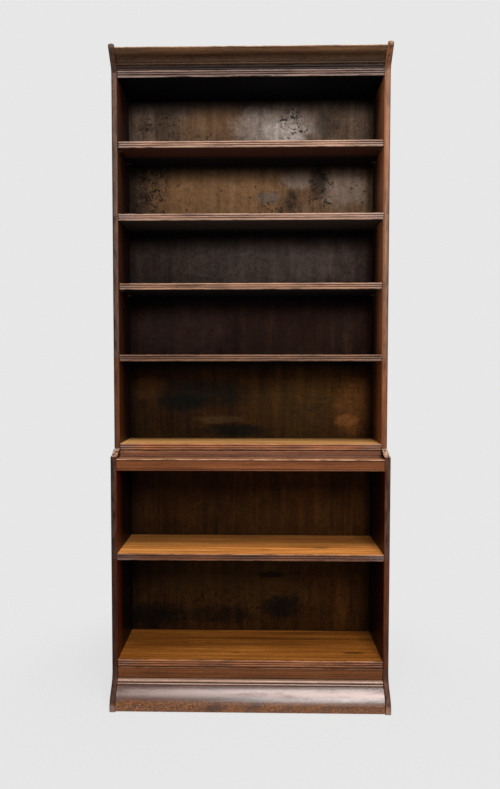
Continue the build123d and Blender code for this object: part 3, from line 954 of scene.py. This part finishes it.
@dataclass(frozen=True)
class Metal:
    """Old metal with a broken tarnish, for the studs and the screws."""

    name: str
    bright: Colour
    tarnish: Colour
    roughness: float = 0.42

    def dress(self, node: str) -> None:
        """Puts the finish on a part.

        Args:
            node: the part's name.
        """
        material, graph = new_material(f"{self.name}_{node}")
        raw = graph.node("ShaderNodeTexCoord").outputs["Object"]
        clouds = graph.noise(raw, scale=420.0, detail=5.0, rough=0.6, twist=0.8)
        scratches = graph.noise(graph.mapped(raw, (3200.0, 500.0, 500.0)), detail=2.0)
        old = clouds.over(0.38, 0.62)
        colour = graph.mix(old, self.bright, self.tarnish)
        bump = graph.node(
            "ShaderNodeBump",
            {},
            {"Height": clouds * 0.6 + scratches * 0.4, "Strength": 0.3, "Distance": 0.0002},
        )
        shader = graph.node(
            "ShaderNodeBsdfPrincipled",
            {},
            {
                "Base Color": colour,
                "Metallic": 1.0 - old * 0.35,
                "Roughness": self.roughness + old * 0.25 + scratches * 0.08,
                "Normal": bump.outputs["Normal"],
            },
        )
        put_on(node, material, graph, shader)


SCREW_STEEL = Metal("dark_steel", (0.20, 0.19, 0.18), (0.055, 0.040, 0.032))
STUD_BRASS = Metal("dull_brass", (0.16, 0.10, 0.045), (0.030, 0.018, 0.009), 0.45)
SOFTWOOD = Oak(
    "aged_softwood", (0.17, 0.095, 0.045), (0.27, 0.16, 0.08), (0.36, 0.23, 0.12),
    cut=Cut.FLAT, wax=0.0, roughness=0.72, figure_width=0.014,
)
UPRIGHT_SOFTWOOD = Oak(
    "aged_block", (0.17, 0.095, 0.045), (0.27, 0.16, 0.08), (0.36, 0.23, 0.12),
    grain=Grain.UPRIGHT, cut=Cut.FLAT, wax=0.0, roughness=0.72, figure_width=0.010,
)
DOWEL_BEECH = Oak(
    "raw_beech", (0.34, 0.22, 0.12), (0.46, 0.31, 0.18), (0.55, 0.39, 0.24),
    grain=Grain.UPRIGHT, cut=Cut.FLAT, wax=0.0, roughness=0.62, figure_width=0.006,
)


Finish = Oak | Metal


@dataclass(frozen=True)
class Unit:
    """One stacking unit: its name and the finishes of its two ends."""

    name: str
    end_left: EndOak
    end_right: EndOak

    def pieces(self) -> dict[str, Finish]:
        """Every piece of the unit with its finish; a bare unit has only its ends."""
        return {"left_end": self.end_left, "right_end": self.end_right}

    def dress(self) -> None:
        """Puts its finish on each piece of the unit and reports it."""
        for piece, finish in self.pieces().items():
            node = f"{self.name}_{piece}"
            finish.dress(node)
            LOG.info("%s: %s", node, finish.name)


@dataclass(frozen=True)
class Plinth(Unit):
    """The plinth: a frieze, beads and a torus in front of two rails, with corner blocks and dowels."""

    frieze: MouldedOak
    bead_strip: MouldedOak
    torus: MouldedOak

    def pieces(self) -> dict[str, Finish]:
        """Every piece of the plinth.

        Returns:
            Each piece's finish under the piece's name.
        """
        return super().pieces() | {
            "dowels": DOWEL_BEECH,
            "frieze": self.frieze,
            "bead_strip": self.bead_strip,
            "torus": self.torus,
            "front_rail": SOFTWOOD,
            "back_rail": SOFTWOOD,
            "glue_blocks": UPRIGHT_SOFTWOOD,
        }


@dataclass(frozen=True)
class Section(Unit):
    """A section: a bottom board and a screwed back between its ends, and dowels for the next unit."""

    board: BoardOak
    back: BackOak

    def pieces(self) -> dict[str, Finish]:
        """Every piece of the section.

        Returns:
            Each piece's finish under the piece's name.
        """
        return super().pieces() | {
            "board": self.board,
            "back": self.back,
            "back_screws": SCREW_STEEL,
            "dowels": DOWEL_BEECH,
        }


@dataclass(frozen=True)
class SteppedSection(Section):
    """The section that steps back, with a front rail, a ledge and a riser above its opening."""

    rail: MouldedOak
    riser: MouldedOak

    def pieces(self) -> dict[str, Finish]:
        """Every piece of the stepped section.

        Returns:
            Each piece's finish under the piece's name.
        """
        return super().pieces() | {
            "front_rail": self.rail,
            "ledge": self.riser,
            "riser": self.riser,
            "glue_blocks": SOFTWOOD,
        }


@dataclass(frozen=True)
class ShelvedSection(Section):
    """A tall section with a loose shelf on four studs."""

    shelf: BoardOak

    def pieces(self) -> dict[str, Finish]:
        """Every piece of the section, with its shelf and studs."""
        return super().pieces() | {"shelf": self.shelf, "shelf_studs": STUD_BRASS}


@dataclass(frozen=True)
class Cornice(Unit):
    """The cornice: a crown moulding and a frieze over a board, with a panel on top."""

    board: BoardOak
    frieze: MouldedOak
    moulding: MouldedOak

    def pieces(self) -> dict[str, Finish]:
        """Every piece of the cornice.

        Returns:
            Each piece's finish under the piece's name.
        """
        return super().pieces() | {
            "board": self.board,
            "frieze": self.frieze,
            "moulding": self.moulding,
            "top_panel": SOFTWOOD,
            "back_rail": SOFTWOOD,
            "glue_blocks": SOFTWOOD,
        }


@dataclass(frozen=True)
class Lamp:
    """One soft rectangular light: where it hangs, what it faces, its width and height, and its watts."""

    name: str
    place: Triple
    aim: Triple
    size: tuple[float, float]
    power: float

    def hang(self) -> None:
        """Makes the light and turns it to the point that it faces."""
        data = bpy.data.lights.new(self.name, "AREA")
        data.shape = "RECTANGLE"
        data.size, data.size_y = self.size
        data.energy = self.power
        lamp = bpy.data.objects.new(self.name, data)
        lamp.location = self.place
        lamp.rotation_euler = (Vector(self.aim) - Vector(self.place)).to_track_quat("-Z", "Y").to_euler()
        bpy.context.scene.collection.objects.link(lamp)


LAMPS = (
    Lamp("key_softbox", (0.70, -3.2, 2.35), (0.0, 0.0, 1.1), (1.5, 1.0), 100.0),
    Lamp("left_fill", (-2.4, -2.8, 1.5), (0.0, 0.0, 1.1), (1.6, 2.2), 8.0),
    Lamp("overhead_strip", (0.5, -1.15, 3.1), (0.1, -0.1, 0.4), (2.2, 0.5), 52.0),
)


@dataclass(frozen=True)
class Studio:
    """The pale floor, the soft lights, the even background and the camera."""

    floor_radius: float = 14.0
    floor_tone: float = 0.80
    floor_segments: int = 96
    floor_drop: float = 0.0005
    shadow_radius: float = 1.1
    shadow_share: float = 0.12
    matt_tone: float = 0.74
    fill_level: float = 0.07
    camera_place: Triple = (0.0129, -2.4555, 1.108)
    pitch: float = -2.96
    turn: float = 1.30
    sensor: float = 36.0
    lens: float = 32.85171
    shift_x: float = 0.0155894
    shift_y: float = 0.0177440

    def build(self) -> None:
        """Makes the floor, the world, the lights and the camera."""
        self.floor()
        self.world()
        for lamp in LAMPS:
            lamp.hang()
        self.camera()

    @staticmethod
    def even(tone: float) -> tuple[float, float, float, float]:
        """A solid grey of one tone."""
        return tone, tone, tone, 1.0

    def floor(self) -> bpy.types.Object:
        """A round floor that takes a soft shadow near the case and melts into the background.

        Returns:
            The floor.
        """
        mesh = bpy.data.meshes.new("floor")
        shape = bmesh.new()
        bmesh.ops.create_circle(shape, cap_ends=True, segments=self.floor_segments, radius=self.floor_radius)
        shape.to_mesh(mesh)
        shape.free()
        floor = bpy.data.objects.new("floor", mesh)
        floor.location.z = -self.floor_drop
        bpy.context.scene.collection.objects.link(floor)
        material, graph = new_material("pale_floor")
        x, y, _ = axes_of(graph)
        distance = x * x + y * y
        near = distance.over(self.shadow_radius ** 2, 0.1) * self.shadow_share
        glow = graph.node("ShaderNodeEmission", {}, {"Color": self.even(self.floor_tone), "Strength": 1.0})
        matt = graph.node("ShaderNodeBsdfDiffuse", {}, {"Color": self.even(self.matt_tone)})
        mixed = graph.node("ShaderNodeMixShader", {}, {0: near, 1: glow.outputs[0], 2: matt.outputs[0]})
        output = graph.node("ShaderNodeOutputMaterial")
        graph.feed(output.inputs["Surface"], mixed.outputs[0])
        mesh.materials.append(material)
        return floor

    def world(self) -> None:
        """An even pale background that lights the case only weakly."""
        world = bpy.data.worlds.new("studio")
        bpy.context.scene.world = world
        world.use_nodes = True
        graph = Graph(world.node_tree)
        seen = graph.node("ShaderNodeLightPath").outputs["Is Camera Ray"]
        fill = graph.node("ShaderNodeBackground", {}, {"Color": self.even(1.0), "Strength": self.fill_level})
        shown = graph.node("ShaderNodeBackground", {}, {"Color": self.even(self.floor_tone), "Strength": 1.0})
        mixed = graph.node("ShaderNodeMixShader", {}, {0: seen, 1: fill.outputs[0], 2: shown.outputs[0]})
        output = graph.node("ShaderNodeOutputWorld")
        graph.feed(output.inputs["Surface"], mixed.outputs[0])

    def camera(self) -> None:
        """Sets up the camera that looks at the case from a little right of its middle."""
        data = bpy.data.cameras.new("camera")
        data.sensor_width = self.sensor
        data.lens = self.lens
        data.shift_x = self.shift_x
        data.shift_y = self.shift_y
        camera = bpy.data.objects.new("camera", data)
        camera.location = self.camera_place
        camera.rotation_euler = (math.radians(90.0 + self.pitch), 0.0, math.radians(self.turn))
        bpy.context.scene.collection.objects.link(camera)
        bpy.context.scene.camera = camera
        bpy.context.scene.view_settings.view_transform = "Standard"


CASE_TONES = ((0.050, 0.020, 0.010), (0.095, 0.038, 0.018), (0.155, 0.066, 0.032))
# Each left and right pair of ends below is one oak; where their front-edge and inner-face colours differ, the
# difference is painted light and shade
LEFT_END = EndOak(
    "left_end_oak", *CASE_TONES, grain=Grain.UPRIGHT, cut=Cut.QUARTERED, wear_and_highlight=0.30,
    worn=(0.16, 0.095, 0.065), arris_colour=(0.038, 0.018, 0.011), inner_front=(0.036, 0.009, 0.003),
)
RIGHT_END = EndOak(
    "right_end_oak", *CASE_TONES, grain=Grain.UPRIGHT, cut=Cut.QUARTERED, wear_and_highlight=0.30,
    worn=(0.26, 0.135, 0.075), arris_colour=(0.105, 0.043, 0.020), inner_front=(0.310, 0.112, 0.048),
    inner_deep=(0.024, 0.008, 0.004), inner_reach=0.15,
)
WARM_LEFT_END = replace(
    LEFT_END, name="warm_left_end_oak", arris_colour=(0.056, 0.016, 0.006), worn=(0.15, 0.06, 0.025),
    inner_front=(0.046, 0.012, 0.002),
)
WARM_RIGHT_END = replace(
    RIGHT_END, name="warm_right_end_oak", arris_colour=(0.110, 0.036, 0.015), worn=(0.27, 0.12, 0.06),
    inner_front=(0.200, 0.062, 0.018),
)
LOW_LEFT_END = EndOak(
    "low_left_end_oak", *CASE_TONES, grain=Grain.UPRIGHT, cut=Cut.QUARTERED, wear_and_highlight=0.22,
    worn=(0.085, 0.028, 0.012), arris_colour=(0.020, 0.0040, 0.0010), inner_front=(0.060, 0.007, 0.001),
    inner_deep=(0.004, 0.001, 0.001),
)
LOW_RIGHT_END = EndOak(
    "low_right_end_oak", *CASE_TONES, grain=Grain.UPRIGHT, cut=Cut.QUARTERED, wear_and_highlight=0.22,
    worn=(0.15, 0.055, 0.025), arris_colour=(0.056, 0.0125, 0.0032), inner_front=(0.028, 0.001, 0.0005),
    inner_deep=(0.004, 0.001, 0.001),
)
# The ogee ends' pale up-facing top is a painted highlight from light above, with some wear
OGEE_LEFT_END = replace(
    LOW_LEFT_END, name="ogee_left_end_oak", wear_and_highlight=0.06, top_wear_and_highlight=13.0, worn=(0.52, 0.34, 0.24),
)
OGEE_RIGHT_END = replace(
    LOW_RIGHT_END, name="ogee_right_end_oak", wear_and_highlight=0.06, top_wear_and_highlight=13.0, worn=(0.60, 0.40, 0.28),
)
# The plinth ends' pale front edge is mostly a painted highlight down the rounded toe, with some wear
PLINTH_LEFT_END = replace(
    LOW_LEFT_END, name="plinth_left_end_oak", arris_colour=(0.050, 0.020, 0.012), wear_and_highlight=0.8,
    worn=(0.27, 0.17, 0.13),
)
PLINTH_RIGHT_END = replace(
    LOW_RIGHT_END, name="plinth_right_end_oak", arris_colour=(0.090, 0.035, 0.020), wear_and_highlight=0.8,
    worn=(0.36, 0.22, 0.16),
)
# The cornice ends' pale rounded top is wear with a painted highlight on the nose
NOSED_LEFT_END = replace(LEFT_END, name="nosed_left_end_oak", top_wear_and_highlight=0.8, worn=(0.26, 0.18, 0.14))
NOSED_RIGHT_END = replace(RIGHT_END, name="nosed_right_end_oak", top_wear_and_highlight=0.8, worn=(0.34, 0.21, 0.15))
# The boards' underside colours are painted shade
SHELF_OAK = BoardOak(
    "shelf_oak", (0.10, 0.048, 0.026), (0.17, 0.085, 0.045), (0.26, 0.14, 0.075),
    wear_and_highlight=0.9, worn=(0.52, 0.34, 0.24), front_colour=(0.240, 0.136, 0.092),
    under_front=(0.043, 0.0105, 0.005), under_deep=(0.003, 0.0015, 0.0015), under_reach=0.085,
    under_fade=0.05, specular=0.12,
)
LOWER_SHELF_OAK = replace(
    SHELF_OAK, name="lower_shelf_oak", front_colour=(0.240, 0.120, 0.070), under_front=(0.008, 0.003, 0.002),
)
GREY_BOARD = replace(
    SHELF_OAK, name="grey_board_oak", under_front=(0.024, 0.014, 0.010), under_reach=0.14,
)
DARK_BOARD = replace(
    SHELF_OAK, name="dark_board_oak", front_colour=(0.135, 0.064, 0.036), worn=(0.34, 0.175, 0.105),
    under_front=(0.012, 0.005, 0.002), under_reach=0.01,
)
# The cornice board's near-black, bluish underside is painted shade
CORNICE_BOARD = replace(
    SHELF_OAK, name="cornice_board_oak", front_colour=(0.112, 0.069, 0.055), worn=(0.50, 0.36, 0.30),
    under_front=(0.006, 0.002, 0.002), under_deep=(0.0008, 0.0010, 0.0018), under_reach=0.002,
    under_fade=0.02, specular=0.05,
)
WAIST_BOARD = BoardOak(
    "warm_board_oak", (0.32, 0.140, 0.040), (0.62, 0.295, 0.092), (0.88, 0.460, 0.155),
    wear_and_highlight=0.9, worn=(0.54, 0.28, 0.15), front_colour=(0.258, 0.084, 0.029), figure_width=0.022,
)
GOLDEN_BOARD = BoardOak(
    "golden_board_oak", (0.40, 0.130, 0.025), (0.70, 0.250, 0.055), (0.94, 0.430, 0.110),
    wear_and_highlight=0.9, worn=(0.54, 0.26, 0.13), front_colour=(0.102, 0.032, 0.011),
    figure_width=0.020, back_shade=0.44,
    knots=((0.24, -0.030, 0.009), (-0.12, 0.020, 0.006), (0.05, -0.060, 0.007)),
)
BROWN_BOARD = BoardOak(
    "brown_board_oak", (0.14, 0.042, 0.0060), (0.255, 0.082, 0.0120), (0.39, 0.140, 0.0230),
    wear_and_highlight=0.9, worn=(0.50, 0.22, 0.09), front_colour=(0.240, 0.080, 0.026),
    figure_width=0.018, back_shade=-0.30,
    knots=((-0.230, 0.035, 0.006), (-0.149, 0.035, 0.005), (0.351, -0.050, 0.012), (-0.05, -0.052, 0.005)),
)
INK = (0.010, 0.007, 0.006)
BARE_BACK = BackOak(
    "bare_back_oak", (0.050, 0.030, 0.019), (0.086, 0.053, 0.034), (0.130, 0.083, 0.054),
    grain=Grain.UPRIGHT, cut=Cut.FLAT, wax=0.0, roughness=0.72, specular=0.05, blotch=0.45, stain=INK,
)
TOP_BACK = replace(
    BARE_BACK, name="top_back_oak", spots=0.7, dust=(0.150, 0.115, 0.090), stain_amount=0.6,
    lower_tint=(1.20, 1.05, 0.84), right_light_gain=0.10, ceilings=("cornice_board", "section_1_shelf"),
    patches=(
        Patch(-0.130, 0.365, 0.14, 0.08, (0.160, 0.082, 0.038), 0.60),
        # The next two patches are a painted reflection: a pale sheen of light on the back
        Patch(0.095, 0.355, 0.17, 0.085, (0.29, 0.240, 0.205), 0.60),
        Patch(0.120, 0.330, 0.09, 0.055, (0.52, 0.45, 0.40), 0.60),
        Patch(0.148, 0.355, 0.055, 0.075, INK, 0.95, Edge.SPECKLE),
        Patch(0.270, 0.370, 0.055, 0.055, INK, 0.60),
        Patch(-0.330, 0.365, 0.080, 0.050, INK, 0.85, Edge.SPECKLE),
        Patch(-0.150, 0.315, 0.060, 0.030, INK, 0.75, Edge.SPECKLE),
        Patch(-0.120, 0.110, 0.30, 0.13, (0.185, 0.094, 0.040), 0.65),
        Patch(0.335, 0.140, 0.10, 0.07, (0.220, 0.175, 0.145), 0.45),
        Patch(0.170, 0.170, 0.07, 0.035, (0.220, 0.185, 0.160), 0.40),
        Patch(0.065, 0.110, 0.05, 0.025, (0.080, 0.074, 0.072), 0.60),
        Patch(-0.420, 0.120, 0.060, 0.15, INK, 0.70),
        Patch(-0.380, 0.120, 0.090, 0.14, INK, 0.90, Edge.SPECKLE),
        Patch(0.242, 0.160, 0.034, 0.070, INK, 0.85),
        Patch(0.250, 0.140, 0.050, 0.090, INK, 0.95, Edge.SPECKLE),
        Patch(0.145, 0.100, 0.026, 0.040, INK, 0.85),
        Patch(0.100, 0.060, 0.090, 0.040, INK, 0.80, Edge.SPECKLE),
    ),
)
MIDDLE_BACK = replace(
    BARE_BACK, name="middle_back_oak",
    dark=(0.016, 0.0098, 0.0072), middle=(0.026, 0.0155, 0.0115), light=(0.041, 0.0250, 0.0185),
    dust=(0.046, 0.036, 0.030), lower_tint=(0.60, 0.36, 0.26),
    ceilings=("section_1_board", "section_2_shelf"),
    patches=(
        Patch(0.05, 0.347, 0.34, 0.10, (0.060, 0.044, 0.036), 0.55),
        Patch(-0.15, 0.330, 0.25, 0.09, INK, 0.45, Edge.SPECKLE),
        Patch(-0.25, 0.120, 0.20, 0.12, (0.030, 0.016, 0.012), 0.45),
        Patch(0.15, 0.100, 0.25, 0.10, INK, 0.40, Edge.SPECKLE),
    ),
)
OLIVE_BACK = replace(
    BARE_BACK, name="olive_back_oak",
    dark=(0.013, 0.0042, 0.0006), middle=(0.023, 0.0078, 0.0012), light=(0.038, 0.0135, 0.0022),
    split=0.0, blotch=0.5, dust=(0.042, 0.020, 0.003), dust_amount=0.45, stain=(0.004, 0.003, 0.0015),
    stain_amount=0.75, right_light_gain=0.35, ceilings=("section_2_board",), ceiling_reach=0.050, waviness=3.2,
    patches=(
        Patch(0.170, 0.130, 0.20, 0.13, (0.040, 0.020, 0.004), 0.45),
        Patch(-0.370, 0.195, 0.08, 0.045, (0.060, 0.023, 0.005), 0.60),
        Patch(-0.180, 0.175, 0.18, 0.060, (0.004, 0.0035, 0.002), 0.80),
        Patch(-0.250, 0.145, 0.09, 0.035, (0.003, 0.0035, 0.002), 0.85),
        Patch(-0.115, 0.082, 0.10, 0.016, (0.080, 0.044, 0.014), 0.45),
        Patch(-0.060, 0.042, 0.13, 0.026, (0.003, 0.0035, 0.0025), 0.85),
        Patch(0.370, 0.130, 0.075, 0.12, (0.092, 0.034, 0.008), 0.55),
        Patch(0.350, 0.080, 0.05, 0.025, (0.150, 0.056, 0.014), 0.50),
        Patch(0.250, 0.110, 0.12, 0.060, INK, 0.50, Edge.SPECKLE),
        Patch(-0.200, 0.110, 0.20, 0.080, INK, 0.45, Edge.SPECKLE),
    ),
)
LOW_BACK = replace(
    BARE_BACK, name="low_back_oak",
    dark=(0.016, 0.0052, 0.0007), middle=(0.028, 0.0092, 0.0013), light=(0.044, 0.0152, 0.0025),
    split=0.0, dust=(0.040, 0.018, 0.005), stain=(0.003, 0.002, 0.001),
    ceilings=("section_4_ledge",), ceiling_reach=0.060,
)
FOOT_BACK = replace(
    LOW_BACK, name="foot_back_oak", ceilings=("section_4_board",), ceiling_reach=0.030,
    patches=(
        Patch(-0.080, 0.200, 0.30, 0.10, (0.040, 0.018, 0.004), 0.50),
        Patch(0.075, 0.229, 0.055, 0.014, (0.003, 0.002, 0.001), 0.85),
        Patch(0.110, 0.110, 0.075, 0.045, (0.003, 0.002, 0.001), 0.85),
        Patch(-0.360, 0.070, 0.12, 0.060, (0.002, 0.002, 0.001), 0.85),
        Patch(-0.120, 0.080, 0.14, 0.035, (0.003, 0.002, 0.001), 0.60),
        Patch(-0.050, 0.110, 0.30, 0.070, (0.003, 0.002, 0.001), 0.60, Edge.SPECKLE),
    ),
)
RISER_OAK = MouldedOak(
    "riser_oak", (0.062, 0.020, 0.0080), (0.135, 0.046, 0.019), (0.22, 0.083, 0.037), wear_and_highlight=0.5,
    worn=(0.40, 0.19, 0.10), foot_share=-1.0, figure_width=0.010, quirks=(0.0006, 0.0050),
)
RAIL_OAK = MouldedOak(
    "rail_oak", (0.062, 0.016, 0.0035), (0.120, 0.034, 0.0085), (0.190, 0.060, 0.017), wear_and_highlight=0.95,
    worn=(0.56, 0.31, 0.17), foot_share=-1.0, figure_width=0.012,
    quirks=(0.0052, 0.0326), specular=0.14,
)
FRIEZE_OAK = MouldedOak(
    "frieze_oak", (0.046, 0.013, 0.0026), (0.112, 0.034, 0.0085), (0.18, 0.060, 0.017), wear_and_highlight=0.4,
    foot_share=-1.0, figure_width=0.008, quirks=(0.0006, 0.0028, 0.0342), specular=0.14,
)
# The beads' pale tones are painted highlight on the same oak as the frieze
BEAD_OAK = MouldedOak(
    "bead_oak", (0.27, 0.145, 0.105), (0.44, 0.265, 0.195), (0.60, 0.390, 0.290), wear_and_highlight=0.2, foot_share=-1.0,
    wax=0.30, roughness=0.34, quirks=(0.0006, 0.0068, 0.0162),
)
# The torus's pale brow is a painted highlight, stronger to the right, and its dark foot is painted shade
TORUS_OAK = MouldedOak(
    "torus_oak", (0.058, 0.027, 0.020), (0.110, 0.054, 0.040), (0.18, 0.094, 0.072), cut=Cut.QUARTERED,
    foot=(0.046, 0.013, 0.002), foot_share=0.47, mottle=0.85, mottle_colour=(0.38, 0.125, 0.018),
    brow=0.98, brow_colour=(0.68, 0.53, 0.48), brow_rise=0.75, wax=0.35, roughness=0.36, specular=0.35,
)
# The crown's near-black foot is painted shade under its curve
CROWN_OAK = MouldedOak(
    "crown_oak", (0.034, 0.015, 0.0060), (0.082, 0.037, 0.015), (0.160, 0.075, 0.030), cut=Cut.QUARTERED,
    wear_and_highlight=0.8, worn=(0.42, 0.29, 0.20), foot=(0.005, 0.0018, 0.0016), foot_share=0.60,
    mottle=0.40, mottle_colour=(0.16, 0.08, 0.035), quirks=(0.0064,), specular=0.12,
)
CORNICE_FRIEZE_OAK = MouldedOak(
    "cornice_frieze_oak", (0.008, 0.0042, 0.0028), (0.017, 0.0088, 0.0060), (0.032, 0.0170, 0.0115), wear_and_highlight=0.6,
    worn=(0.18, 0.115, 0.085), foot_share=-1.0, quirks=(0.0004, 0.0080), specular=0.09,
)


def units() -> list[Unit]:
    """The case's units from the floor up, each with its own tones.

    Returns:
        The plinth, the five sections and the cornice.
    """
    return [
        Plinth("plinth", PLINTH_LEFT_END, PLINTH_RIGHT_END, FRIEZE_OAK, BEAD_OAK, TORUS_OAK),
        Section("section_5", LOW_LEFT_END, LOW_RIGHT_END, BROWN_BOARD, FOOT_BACK),
        SteppedSection(
            "section_4", OGEE_LEFT_END, OGEE_RIGHT_END, GOLDEN_BOARD, LOW_BACK, RAIL_OAK, RISER_OAK
        ),
        Section("section_3", WARM_LEFT_END, WARM_RIGHT_END, WAIST_BOARD, OLIVE_BACK),
        ShelvedSection("section_2", LEFT_END, RIGHT_END, DARK_BOARD, MIDDLE_BACK, LOWER_SHELF_OAK),
        ShelvedSection("section_1", LEFT_END, RIGHT_END, GREY_BOARD, TOP_BACK, SHELF_OAK),
        Cornice("cornice", NOSED_LEFT_END, NOSED_RIGHT_END, CORNICE_BOARD, CORNICE_FRIEZE_OAK, CROWN_OAK),
    ]


def main() -> None:
    """Dresses the case from the floor up and sets the studio round it."""
    logging.basicConfig(level=logging.INFO, format="%(message)s")
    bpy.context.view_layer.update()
    Studio().build()
    for unit in units():
        unit.dress()


if __name__ == "__main__":
    main()
